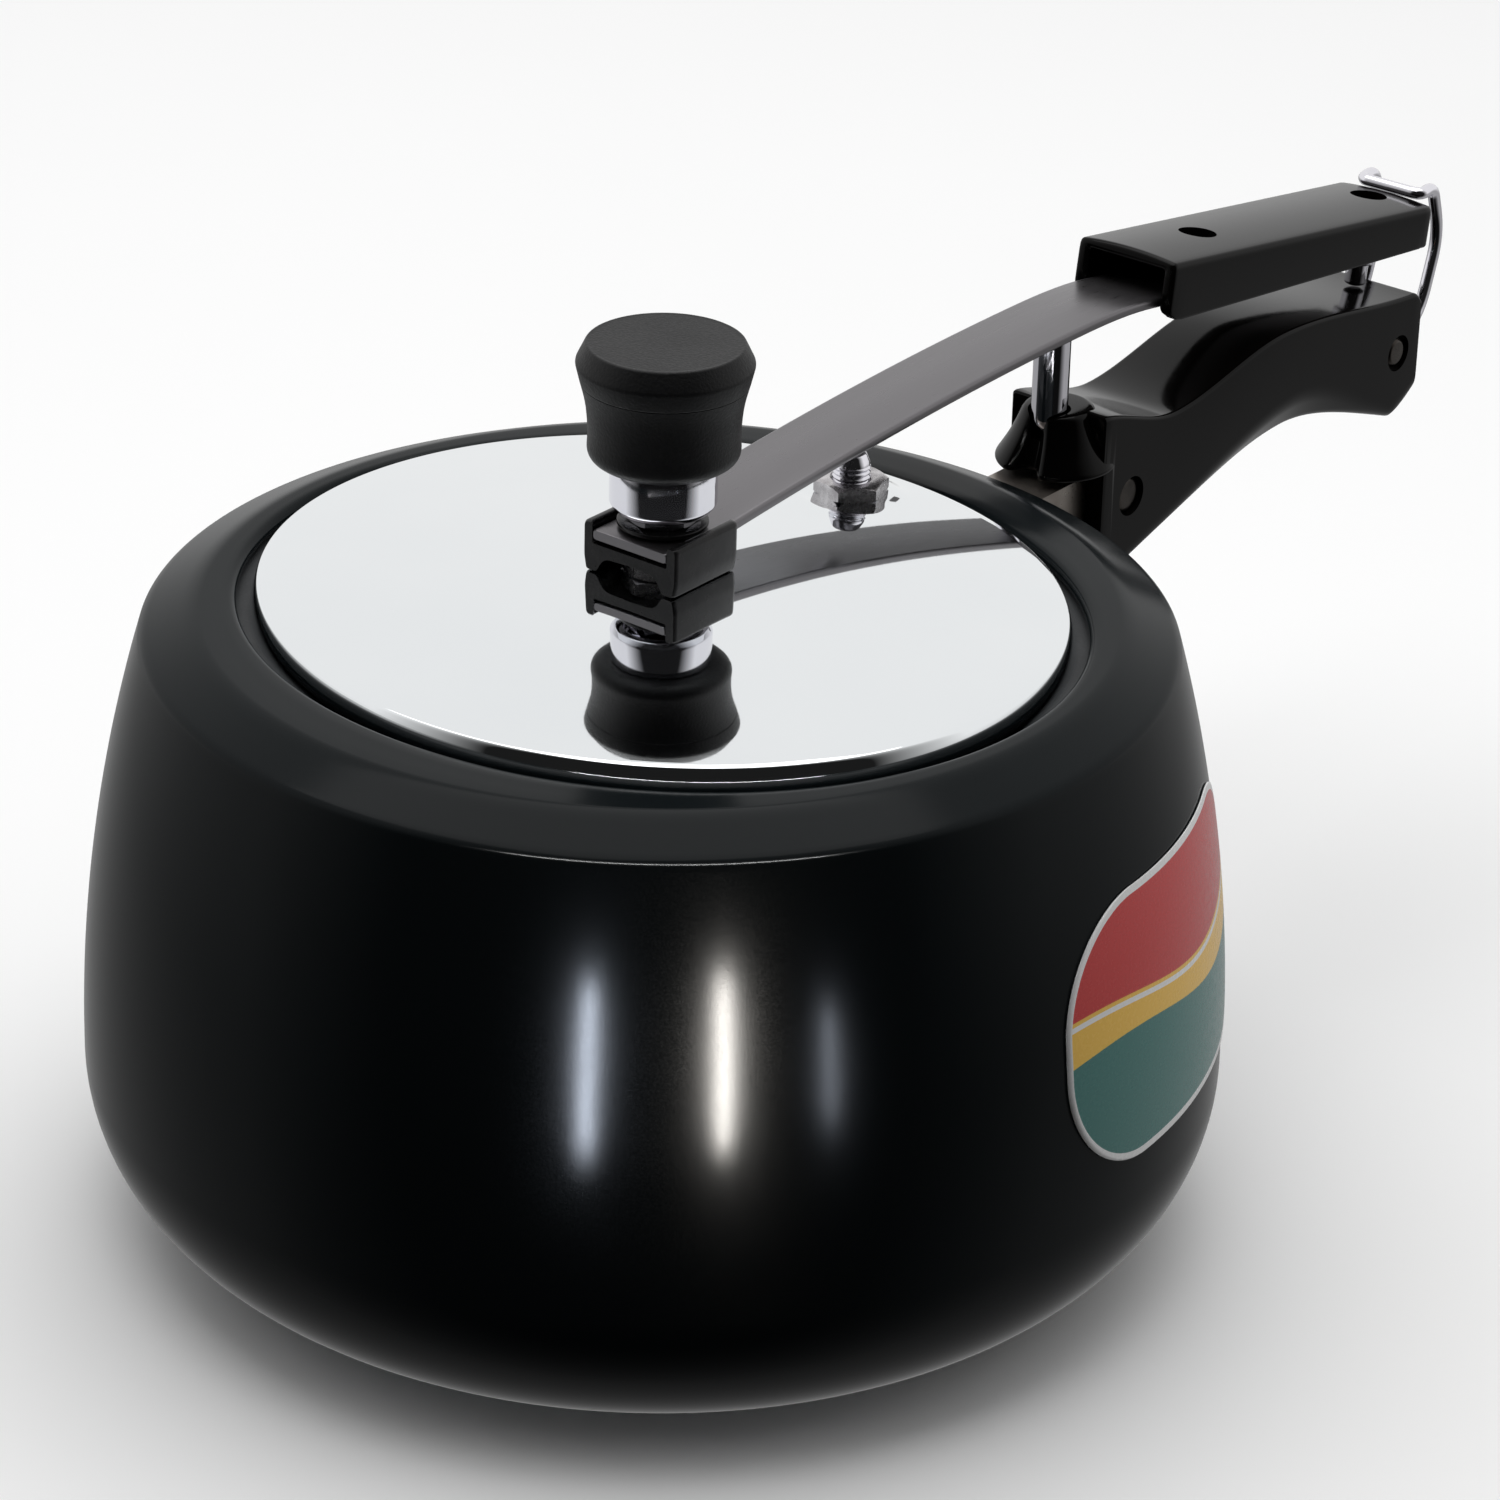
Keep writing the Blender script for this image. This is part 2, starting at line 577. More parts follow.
def capped(grid):
    """The grid with a pole at the middle of its first and last rows."""
    poles = grid[[0, -1]].mean(1, keepdims=True).repeat(grid.shape[1], 1)
    return np.concatenate([poles[:1], grid, poles[1:]])


def grip_point(u, w):
    """A place in the grip's own frame, u along its slope and w up from it, as (x, z)."""
    return np.array([GRIP_X + u * np.cos(SLOPE) + w * np.sin(SLOPE),
                     GRIP_Z - u * np.sin(SLOPE) + w * np.cos(SLOPE)])


BAR_PATH = np.concatenate([
    np.stack([np.linspace(-9, 9, 13), np.full(13, BAR_TOP)], -1)[:-1],
    hermite((9, BAR_TOP), (PILLAR_X, APEX_Z), 0.1, 0.0, 48)[:-1],
    hermite((PILLAR_X, APEX_Z), (GRIP_X, GRIP_Z), 0.0, -np.tan(SLOPE), 14)[:-1],
    [grip_point(0, 0), grip_point(30, 0), grip_point(GRIP_L - 6.2, 0), grip_point(GRIP_L - 6, 0)]])


def bar_sheet():
    """The eased rectangle along the bar's top line, drawn in a little at both cut ends."""
    full = eased_rectangle(BAR_W, -BAR_T, 0, 0.75)
    sections = np.repeat(full[None], len(BAR_PATH), 0)
    middle = np.array([0, -BAR_T / 2])
    for row in (0, -1):
        sections[row] = middle + (full - middle) * np.array([0.972, 0.84])
    path = BAR_PATH.copy()
    path[1, 0] = path[0, 0] + 0.3
    return capped(carried(path, sections))


place(sheet_object("lever_bar", bar_sheet()), bar_steel, "lever", "bar_steel", "handle_bar")

# %% [markdown]
# ## The bracket on the lid
# Two cheeks stand on the lid beside the bar, and a web joins them. It is cut from thick steel
# and blackened, so its edges are eased and its underside is arched. The section is drawn once
# and carried along X, with a chamfer at each end.

# %% Bracket
LID_TOP = FOOT_Z + CROWN
WEB_Z = box_of("bar_bracket")[0][2] + 3.25
CHEEK_W = BAR_W / 2 + 0.3


def bracket_sheet():
    """An H-shaped section carried along the bar, smaller by a chamfer at both ends."""
    low, high = box_of("bar_bracket")[0][2], box_of("bar_bracket")[1][2]
    out = CHEEK_W + 1.8
    half = [(0, WEB_Z + 2.0), (CHEEK_W, WEB_Z + 2.0), (CHEEK_W, high), (out, high - 0.1),
            (out, low + 2.6), (out - 0.5, low), (CHEEK_W - 1.0, low), (CHEEK_W - 2.6, WEB_Z - 0.3),
            (0, WEB_Z)]
    side = rounded(half, [0, 0.4, 0.45, 0.9, 0.8, 0.5, 0.6, 1.6, 0], 4)
    ring = mirrored(side)
    middle = np.array([0, (low + high) / 2])
    rows = []
    for x, shrink in ((-9, 0.965), (-8.6, 0.99), (-8.1, 1.0), (7.1, 1.0), (7.6, 0.99), (8, 0.965)):
        scaled = middle + (ring - middle) * np.array([shrink, shrink])
        rows.append(np.stack([np.full(len(ring), x), scaled[:, 0], scaled[:, 1]], -1))
    return np.array(rows)


place(closed_ends("lid_bracket", bracket_sheet()), black_steel, "lid_assembly", "black_steel", "bar_bracket")

# %% [markdown]
# ## Nuts and threads
# A hexagon nut is turned to a cone at its ends before it is parted off, which leaves the curved
# chamfers that catch the light. A thread here is a fine wave on a turned outline.

# %% Nut and thread formulas
def nut_sheet(flats, height, hole_d, foot, chamfer=True, segments=120, start=0.0):
    """Hexagon radius R(a) = flats/2 / cos(a mod 60 - 30); a 30 degree cone takes off its corners."""
    a = np.linspace(0, 2 * np.pi, segments, endpoint=False) + np.radians(start)
    off = (np.degrees(a - np.radians(start)) % 60) - 30
    hexagon = flats / 2 / np.cos(np.radians(off))
    cone = np.minimum(hexagon, flats / 2 * 0.985)
    drop = (hexagon - cone) * np.tan(np.radians(30)) * (1.0 if chamfer else 0.3)
    hole = np.full(segments, hole_d / 2)
    rings = [(hole + 0.35, np.zeros(segments)), (cone, np.zeros(segments)), (hexagon, drop),
             (hexagon, height - drop), (cone, np.full(segments, height)),
             (hole + 0.35, np.full(segments, height)), (hole, np.full(segments, height - 0.35)),
             (hole, np.full(segments, 0.35)), (hole + 0.35, np.zeros(segments))]
    grid = np.array([np.stack([r * np.cos(a), r * np.sin(a), z], -1) for r, z in rings])
    return grid + np.asarray(foot, float)


def threaded(z0, z1, d, pitch=1.0, depth=0.32, steps=8):
    """(r, z) of a thread: the radius is d/2 less a rounded V every pitch."""
    z = np.linspace(z0, z1, max(2, int((z1 - z0) / pitch * steps)))
    wave = np.abs(((z - z0) / pitch) % 1 * 2 - 1)
    return np.stack([d / 2 - depth * (1 - wave) ** 1.2, z], -1)


# %% Vent tube, its nuts, washer and seal
BORE_R = 3.55
WASHER_R = 4.85
washer_low, washer_high = box_of("vent_washer")
vent_low, vent_high = box_of("vent_tube")
vent_top = vent_high[2] - 4.5
vent_profile = np.concatenate([
    rounded([(1.25, vent_low[2]), (8, vent_low[2]), (8, vent_low[2] + 2.6), (3.5, vent_low[2] + 2.6),
             (3.5, vent_low[2] + 4.2)], 0.4),
    threaded(LID_TOP + 0.1, vent_top - 0.3, 7.0, 1.0, 0.3),
    rounded([(3.4, vent_top - 0.2), (3.0, vent_top), (2.3, vent_top + 4.5), (1.25, vent_top + 4.5),
             (1.25, vent_low[2])], 0.25)])
place(sheet_object("vent_pipe", spun(vent_profile, 72)), brass, "lid_assembly", "brass_tube", "vent_tube")
seal_low, seal_high = box_of("vent_seal")
place(sheet_object("vent_grommet", turned_ring(BORE_R, 7.5, seal_low[2], seal_high[2], 0.4)),
      rubber, "lid_assembly", "gasket_rubber", "vent_seal")
base_low, base_high = box_of("vent_base_nut")
place(sheet_object("lid_nut", nut_sheet(13, base_high[2] - base_low[2], 7.1, (0, 0, base_low[2]))),
      zinc, "lid_assembly", "fastener_steel", "vent_base_nut")
place(sheet_object("vent_disc", turned_ring(WASHER_R, 8, washer_low[2], washer_high[2], 0.25, 96)),
      black_steel, "lid_assembly", "black_steel", "vent_washer")
sleeve_low, sleeve_high = box_of("vent_nut")
sleeve = turned_ring(BORE_R, 4.8, sleeve_low[2], washer_high[2] + 0.3, 0.2)
crown_nut = nut_sheet(11.6, 2.8, 7.1, (0, 0, sleeve_high[2] - 2.8), start=12)
place(joined("vent_hexagon", [sheet_object("sleeve", sleeve), sheet_object("crown", crown_nut)]),
      chrome, "lid_assembly", "chrome", "vent_nut")

# %% Safety valve
vnut_low, vnut_high = box_of("safety_valve_nut")
valve_low, valve_high = box_of("safety_valve_body")
head = nut_sheet(11, 2.4, 3.2, (VALVE_X, 0, valve_low[2]))
stem = np.concatenate([
    [(1.6, valve_low[2] + 0.3), (3.5, valve_low[2] + 0.3), (3.4, PAD_Z - 1.0)],
    threaded(PAD_Z - 0.8, vnut_high[2] + 2.6, 7.0, 0.95, 0.34),
    rounded([(3.35, vnut_high[2] + 2.7), (3.3, vnut_high[2] + 3.1), (2.6, valve_high[2] - 0.6),
             (1.9, valve_high[2] - 0.1), (1.6, valve_high[2] - 0.3), (1.6, valve_low[2] + 0.3)], 0.5)])
place(joined("valve_stem", [sheet_object("valve_head", head),
                            sheet_object("stem", spun(stem, 72, (VALVE_X, 0, 0)))]),
      chrome, "lid_assembly", "chrome", "safety_valve_body")
place(sheet_object("valve_hexagon", nut_sheet(12, vnut_high[2] - vnut_low[2], 7.1,
                                              (VALVE_X, 0, vnut_low[2]), start=18)),
      zinc, "lid_assembly", "fastener_steel", "safety_valve_nut")
plug_low, plug_high = box_of("fusible_plug")
place(sheet_object("fuse_core", spun(rounded([(0, plug_low[2]), (1.55, plug_low[2]),
                                              (1.55, plug_high[2] - 0.5), (0, plug_high[2])], 0.5),
                                     48, (VALVE_X, 0, 0))),
      fuse_alloy, "lid_assembly", "fuse_alloy", "fusible_plug")
vseal_low, vseal_high = box_of("safety_valve_seal")
valve_ring = turned_ring(BORE_R, 6, vseal_low[2], vseal_high[2], 0.25, centre=(VALVE_X, 0, 0))
place(sheet_object("valve_grommet", valve_ring), rubber, "lid_assembly", "gasket_rubber",
      "safety_valve_seal")

# %% [markdown]
# ## The regulator weight
# A moulded cap, narrow at the waist so that it can be pinched off, holds a heavy turned collar.
# The cap widens to a ring near the top and slopes in to a flat face. A fine parting line runs
# round it where the two halves of the mould met.

# %% Cap and collar
cap_low, cap_high = box_of("weight_cap")
body_low, body_high = box_of("weight_body")
CAP_R = cap_high[0]
cap_profile = rounded([(0, cap_low[2] + 12), (7.45, cap_low[2] + 12), (7.45, cap_low[2] + 0.2),
                       (CAP_R - 4.6, cap_low[2]), (CAP_R - 2.1, cap_low[2] + 1.6),
                       (CAP_R - 2.35, cap_low[2] + 6),
                       (CAP_R - 1.9, cap_low[2] + 11), (CAP_R - 0.95, cap_low[2] + 14.6)],
                      [0, 0.3, 0.3, 1.2, 1.6, 4, 4, 0], 6)
parting = [(CAP_R - 0.90, cap_low[2] + 14.75), (CAP_R - 1.00, cap_low[2] + 14.87),
           (CAP_R - 0.84, cap_low[2] + 15.0)]
cap_top = rounded([(CAP_R - 0.8, cap_low[2] + 15.1), (CAP_R, cap_low[2] + 18.4),
                   (CAP_R - 1.75, cap_high[2]), (CAP_R - 2.5, cap_high[2] - 0.12), (0, cap_high[2] - 0.12)],
                  [0, 0.5, 0.45, 0.3, 0], 5)
place(sheet_object("weight_knob", spun(np.concatenate([cap_profile, parting, cap_top]), 128), crisp=40),
      textured, "regulator", "cap_plastic", "weight_cap")
collar_r = body_high[0]
seat = vent_top
collar_profile = rounded([(7.2, body_low[2]), (collar_r - 0.9, body_low[2]), (collar_r, body_low[2] + 1.2),
                          (collar_r, cap_low[2] - 0.05), (7.4, cap_low[2] - 0.05), (7.4, body_high[2]),
                          (0, body_high[2]), (0, seat + 4.8), (2.8, seat + 4.8), (3.7, seat + 0.3),
                          (3.8, body_low[2] + 3.4), (7.2, body_low[2] + 3.4), (7.2, body_low[2])],
                         [0, 0.3, 0.35, 0.25, 0.2, 0.4, 0, 0, 0.2, 0.2, 0.2, 0.3, 0], 5)
place(sheet_object("weight_collar", spun(collar_profile, 128)), chrome, "regulator", "chrome", "weight_body")

# %% [markdown]
# ## Pillar and stud
# The pillar is a polished pin fixed under the bar, with a round foot that rocks in the handle.
# The stud on the outer screw stops the grip just above the handle.

# %% Turned pins
pillar_top = APEX_Z - BAR_T - 0.05
foot = np.linspace(-np.pi / 2, 0, 10)
R = PILLAR_D / 2
pillar_profile = np.concatenate([
    np.stack([R * np.cos(foot), pillar_low[2] + R + R * np.sin(foot)], -1),
    rounded([(R, pillar_low[2] + R + 0.2), (R, pillar_top), (2.3, pillar_top), (2.3, pillar_high[2]),
             (0, pillar_high[2])], 0.3)])
place(sheet_object("pillar_pin", spun(pillar_profile, 72, (PILLAR_X, 0, 0))),
      chrome, "lever", "chrome", "fulcrum_pillar")


def in_grip_frame(grid, u):
    """A form made round Z at the origin, moved to place u of the grip and tipped with its slope."""
    c, s = np.cos(SLOPE), np.sin(SLOPE)
    x, y, w = grid[..., 0] + u, grid[..., 1], grid[..., 2]
    return np.stack([GRIP_X + x * c + w * s, y, GRIP_Z - x * s + w * c], -1)


SCREW_U = (24.0, GRIP_L - 7.5)
stud_low = box_of("rest_stud")[0][2]
stud_l = (grip_point(SCREW_U[1], -BAR_T)[1] - stud_low) / np.cos(SLOPE) - 0.25
stud_profile = rounded([(0, -BAR_T - 0.1), (3.25, -BAR_T - 0.1), (3.25, -BAR_T - 4), (2.2, -BAR_T - 4),
                        (2.2, -BAR_T - stud_l + 0.5), (1.2, -BAR_T - stud_l), (0, -BAR_T - stud_l)], 0.4)
place(sheet_object("rest_pin", in_grip_frame(spun(stud_profile, 64), SCREW_U[1])),
      chrome, "lever", "chrome", "rest_stud")

# %% [markdown]
# ## The grip on the lid
# A glossy channel covers the outer half of the bar. Its top is slightly crowned, its long edges
# are rounded, and a thick rounded lip frames the open end. A C-shaped section is carried along
# the grip: the lip comes from drawing the section in towards the middle of its own wall, and the
# closed outer end comes from lowering the inside of the C.

# %% Channel section
GRIP_W = BAR_W + 0.6 + 5.2
GRIP_TOP, GRIP_WALL = 8.0, 2.6


def channel(half, top, skirt, inset, ceiling, shrink=0.0):
    """The C in (across, up): outside round, then inside back, drawn in by `inset` at the lip."""
    o, t, b = half - inset - shrink, top - inset - shrink, skirt + inset
    i, c = half - GRIP_WALL + inset, ceiling + inset
    crown = 0.75 * (1 - shrink)
    across = np.linspace(0, 1, 7)
    roof = np.stack([across * (o - 1.7), t - crown * (across * (o - 1.7) / half) ** 2], -1)
    edge = rounded([tuple(roof[-1]), (o - 0.1, t - crown - 0.05), (o, t - 3.2)], [0, 1.7, 0], 6)
    wall = rounded([(o, t - 3.3), (o, b), (o - GRIP_WALL / 2, b - 0.05), (i, b), (i, c), (0, c)],
                   [0, 0.55, 0.4, 0.45, 0.8, 0], 4)
    side = np.concatenate([roof, edge[1:], wall[1:]])
    return mirrored(side)


def grip_sheet():
    """Rows along u: the lip's round, the long body, the wall at the outer end, and its cap."""
    rows = []
    turn = np.linspace(0, np.pi / 2, 7)
    stations = [(0.95 * (1 - np.sin(t)), 0.95 * (1 - np.cos(t)) * 0.98) for t in turn[::-1]]
    lead = [(u, inset) for u, inset in stations] + [(u, 0.0) for u in np.linspace(1.4, GRIP_L - 3.1, 46)]
    for u, inset in lead:
        rise = 5.0 - np.sqrt(np.clip(25.0 - (5.0 - min(u, 5.0)) ** 2, 0, None))
        skirt = -4.3 + 3.2 * min(u, GRIP_L) / GRIP_L + 0.9 * rise
        rows.append((u, channel(GRIP_W / 2, GRIP_TOP, skirt, inset, GRIP_TOP - 2.4)))
    for u, shrink in ((GRIP_L - 3.0, 0.0), (GRIP_L - 1.4, 0.0), (GRIP_L - 0.7, 0.14),
                      (GRIP_L - 0.25, 0.42), (GRIP_L, 0.95)):
        skirt = -1.1 + shrink * 0.8
        rows.append((u, channel(GRIP_W / 2, GRIP_TOP, skirt, 0.0, skirt + 0.02, shrink)))
    return np.array([in_grip_frame(np.stack([np.zeros(len(s)), s[:, 0], s[:, 1]], -1), u) for u, s in rows])


def disc_cutter(radius, low, high):
    """(r, z) grid of a plain drill."""
    return spun([(0, low), (radius, low), (radius, high), (0, high)], 64)


SEAT_R = 3.75
shell = carved(closed_ends("shell", grip_sheet()),
               [cutter(in_grip_frame(disc_cutter(SEAT_R, -2.0, 12.0), u)) for u in SCREW_U])
bosses = [sheet_object("boss", in_grip_frame(
    turned_ring(SEAT_R, SEAT_R + 0.75, 0.1, GRIP_TOP - 1.2, 0.1, 64), u)) for u in SCREW_U]
place(joined("grip_channel", [shell, *bosses]), bakelite, "lever", "bakelite", "lid_grip")


# %% Screws in the grip
def screw_profile(head_r, head_low, head_t, shank_r, tip):
    """(r, z) of a pan-head screw, from its tip to the crown of its head."""
    return rounded([(0, tip), (shank_r - 0.4, tip), (shank_r, tip + 0.6), (shank_r, head_low),
                    (head_r, head_low), (head_r, head_low + head_t * 0.55),
                    (head_r * 0.62, head_low + head_t), (0, head_low + head_t)],
                   [0, 0.2, 0.3, 0.2, 0.3, 0.7, 0.9, 0], 5)


def cross_recess(reach, low, high):
    """Two crossed bars, each a rounded box, as the driver's recess in a screw head."""
    ring = rounded([(0, 0.42), (reach, 0.42), (reach, -0.42), (-reach, -0.42), (-reach, 0.42),
                    (0, 0.42)], 0.15)[:-1]
    flat = np.stack([np.stack([ring[:, 0], ring[:, 1], np.full(len(ring), z)], -1) for z in (low, high)])
    cross = np.stack([flat[..., 1], -flat[..., 0], flat[..., 2]], -1)
    return capped(flat), capped(cross)


screws = []
for u in SCREW_U:
    screw = sheet_object("screw", in_grip_frame(spun(screw_profile(3.6, 0.85, 2.0, 2.0, -BAR_T - 3), 64), u))
    bars = [cutter(in_grip_frame(bar, u)) for bar in cross_recess(2.0, 1.7, 4.0)]
    screws.append(carved(screw, bars))
place(joined("grip_screw_pair", screws), zinc, "lever", "fastener_steel", "grip_screws")
place(sheet_object("grip_hexagon", in_grip_frame(
    nut_sheet(7, 2.4, 4.1, (0, 0, -BAR_T - 0.05 - 2.4)), SCREW_U[0])),
    zinc, "lever", "fastener_steel", "grip_nut")

# %% [markdown]
# ## The handle on the body
# The lower handle is one moulding: a dished top for the thumb, a waist underneath for the
# fingers, soft bevels along its lower edges and a flared skirt at the nose. Rows of sections are
# carried along X, each between the top line and the lower line. The bolt's and the pin's
# recesses are then bored through it.

# %% Handle
HANDLE_L = END_X - NOSE_X
HALF = 11.0
dish = (NOSE_X + 0.22 * HANDLE_L, NOSE_TOP - 6.1)
crest = (NOSE_X + 0.545 * HANDLE_L, NOSE_TOP - 1.0)
top_line = np.concatenate([hermite((NOSE_X, NOSE_TOP), dish, -0.12, 0, 30)[:-1],
                           hermite(dish, crest, 0, 0, 22)[:-1],
                           hermite(crest, (END_X - 3, NOSE_TOP - 6.7), 0, -0.08, 22)])
arch = (NOSE_X + 0.59 * HANDLE_L, NOSE_TOP - 23.5)
low_line = np.concatenate([hermite((NOSE_X, NOSE_TOP - 35.5), arch, 0.3, 0.02, 30)[:-1],
                           hermite(arch, (END_X - 8, NOSE_TOP - 32.5), 0.02, -0.35, 26)])


def handle_section(top, low, bevel, ease=0.9):
    """Flat top with eased edges, upright sides, and lower edges cut back by `bevel` (in, up)."""
    side = rounded([(0, top), (HALF, top), (HALF, low + bevel[1]), (HALF - bevel[0], low), (0, low)],
                   [0, ease, 2.2, 1.6, 0], 6)
    return mirrored(side)


def handle_sheet():
    """Bevel grows to (3.6, 6.2) mm at the waist; both ends are drawn in by a small round."""
    x = np.concatenate([[NOSE_X, NOSE_X + 0.35], np.linspace(NOSE_X + 1, END_X - 8, 72),
                        np.linspace(END_X - 7.2, END_X - 0.5, 14), [END_X - 0.15, END_X]])
    share = np.clip((x - NOSE_X) / HANDLE_L, 0, 1)
    top = np.interp(x, top_line[:, 0], top_line[:, 1])
    past = np.clip((x - (END_X - 3)) / 3, 0, 1)
    top = top - 2.9 * past ** 2
    low = np.interp(x, low_line[:, 0], low_line[:, 1])
    past = np.clip((x - (END_X - 8)) / 8, 0, 1)
    low = low + 4.6 * past ** 1.4
    waist = np.exp(-((share - 0.6) / 0.26) ** 2)
    rows = []
    for i in range(len(x)):
        ring = handle_section(top[i], low[i], (0.9 + 2.8 * waist[i], 1.0 + 5.4 * waist[i]))
        middle = np.array([0, (top[i] + low[i]) / 2])
        inset = {0: 0.965, 1: 0.992, len(x) - 2: 0.975, len(x) - 1: 0.94}.get(i, 1.0)
        ring = middle + (ring - middle) * inset
        rows.append(np.stack([np.full(len(ring), x[i]), ring[:, 0], ring[:, 1]], -1))
    return np.array(rows)


def skirt_sheet(segments=144):
    """Flared cone with two lobes: the radius dips in front, where the pillar's groove runs."""
    a = np.linspace(0, 2 * np.pi, segments, endpoint=False)
    off = np.abs(a - np.pi)
    groove = np.exp(-((off / 0.27) ** 4))
    profile = rounded([(0, NOSE_TOP), (6.6, NOSE_TOP), (8.6, NOSE_TOP - 5.5), (11.7, NOSE_TOP - 10.7),
                       (11.4, NOSE_TOP - 11.5), (0, NOSE_TOP - 11.5)], [0, 1.2, 3, 0.6, 0.4, 0], 7)
    r = profile[:, :1] * np.ones(segments)
    fall = np.clip((NOSE_TOP - profile[:, 1:]) / 11.5, 0, 1)
    r = r - np.minimum(r, (0.2 + 3.6 * fall) * groove * (r > 4))
    z = profile[:, 1:] * np.ones(segments)
    return np.stack([NOSE_X + r * np.cos(a), r * np.sin(a), z], -1)


def y_drill(radius, centre, low, high):
    """A drill along Y."""
    grid = disc_cutter(radius, low, high)
    return cutter(along_y(grid, (centre[0], 0, centre[1])))


def block(low, high):
    """Six-sided cutter between two corners."""
    low, high = np.asarray(low, float), np.asarray(high, float)
    x = np.array([low[0], high[0], high[0], low[0]])
    y = np.array([low[1], low[1], high[1], high[1]])
    rows = [np.stack([x, y, np.full(4, z)], -1) for z in (low[2], high[2])]
    return cutter(capped(np.array(rows)))


handle = closed_ends("handle", handle_sheet())
skirt = sheet_object("skirt", skirt_sheet())
union = handle.modifiers.new("nose", "BOOLEAN")
union.operation, union.solver, union.object = "UNION", "EXACT", skirt
applied(handle)
bpy.data.objects.remove(skirt)
SLOT_W = 14 + 2.5 + 1
PAST = 13.0
CUP_R, TONGUE, EYE_ROOM = 4.1, 6.3, 4.1
BOLT_SEAT_Y, PIN_SEAT_Y, PIN_SEAT_R = 8, 9.8, 3.8
cup = spun([(0, NOSE_TOP - 5.3), (CUP_R, NOSE_TOP - 5.3), (CUP_R, NOSE_TOP + 2), (0, NOSE_TOP + 2)],
           64, (PILLAR_X, 0, 0))
tools = [cutter(cup),
         block((NOSE_X - 20, -7.3, BOLT[1] - TONGUE), (BOLT[0] + TONGUE, 7.3, BOLT[1] + TONGUE)),
         y_drill(2.55, BOLT, -PAST, PAST), y_drill(4.5, BOLT, BOLT_SEAT_Y, PAST),
         y_drill(3.95, BOLT, -PAST, -BOLT_SEAT_Y), y_drill(1.55, PIVOT, -PAST, PAST),
         y_drill(PIN_SEAT_R, PIVOT, PIN_SEAT_Y, PAST), y_drill(PIN_SEAT_R, PIVOT, -PAST, -PIN_SEAT_Y),
         block((PIVOT[0] - EYE_ROOM, -SLOT_W / 2, PIVOT[1] - 30),
               (PIVOT[0] + 36, SLOT_W / 2, PIVOT[1] + EYE_ROOM))]
handle = carved(handle, tools)
handle.name = "lower_handle"
place(handle, bakelite, "pot", "bakelite", "body_handle")

# %% Bolt, nut and pin of the handle
bolt_shank = along_y(spun(rounded([(0, 0), (2.5, 0), (2.5, 18.6), (0, 18.6)], 0.3), 48),
                     (BOLT[0], -8.2, BOLT[1]))
head_profile = rounded([(0, 0), (2.9, 0), (3.75, 0.7), (3.75, 2.1), (0, 2.1)], [0, 0.6, 0.4, 0.2, 0])
bolt_head = along_y(spun(head_profile, 64), (BOLT[0], -10.2, BOLT[1]))
bolt = joined("handle_screw", [sheet_object("shank", bolt_shank), sheet_object("head", bolt_head)])
place(bolt, screw_steel, "pot", "fastener_steel", "handle_bolt")
hexagon = along_y(nut_sheet(7.4, 2.2, 5.1, (0, 0, 0)), (BOLT[0], 8.05, BOLT[1]))
place(sheet_object("handle_hexagon", hexagon), zinc, "pot", "fastener_steel", "handle_nut")
pin_profile = rounded([(0, -10.7), (2.3, -10.7), (3.0, -10.1), (3.0, -9.85), (1.5, -9.85), (1.5, 9.85),
                       (3.0, 9.85), (3.0, 10.1), (2.3, 10.7), (0, 10.7)], 0.2)
place(sheet_object("pivot_rivet", along_y(spun(pin_profile, 64), (PIVOT[0], 0, PIVOT[1]))),
      screw_steel, "pot", "fastener_steel", "bail_pin")

# %% [markdown]
# ## The locking bail
# A loop of spring wire hangs from the pin in the handle and snaps over the end of the grip. A
# round section is carried along one smooth line, from one eye over the grip to the other.

# %% Bail
WIRE_R = 1.25
corner = grip_point(GRIP_L, GRIP_TOP)
BAIL_SIDE = [tuple(PIVOT + (2.0, 0.4)), tuple(PIVOT + (13.0, 2.2)), tuple(PIVOT + (18.6, 19.6)),
             tuple(corner + (5.7, 0.9)), tuple(corner + (0.8, WIRE_R - 0.6))]


def half_wire():
    """Points up one leg, round a bend and half way across the end of the grip."""
    leg = rounded(BAIL_SIDE, [0, 7.0, 5.5, 2.2, 0], 10)
    left = np.stack([leg[:, 0], np.full(len(leg), -7.0), leg[:, 1]], -1)
    t = np.linspace(0, np.pi / 2, 8)
    bend = left[-1] + np.stack([1.6 * (1 - np.sin(t)), 1.6 * (1 - np.cos(t)), 0 * t], -1)
    cross = np.stack([np.full(8, left[-1, 0]), np.linspace(-5.0, 0.0, 8), np.full(8, left[-1, 2])], -1)
    return np.concatenate([left[:-1], bend, cross])


def wire_sheet(path, radius, segments=20):
    """Circles square to half the wire, then the same circles mirrored in Y for the other half."""
    d = np.gradient(path, axis=0)
    d[-1] = (0.0, 1.0, 0.0)
    d /= np.linalg.norm(d, axis=1, keepdims=True)
    other = np.stack([-d[:, 2], 0 * d[:, 0], d[:, 0] - np.abs(d[:, 1])], -1)
    other /= np.linalg.norm(other, axis=1, keepdims=True)
    side = np.cross(other, d)
    a = np.linspace(0, 2 * np.pi, segments, endpoint=False)
    ring = np.cos(a)[None, :, None] * side[:, None] + np.sin(a)[None, :, None] * other[:, None]
    half = path[:, None] + radius * ring
    return capped(np.concatenate([half, (half * [1, -1, 1])[::-1][1:]]))


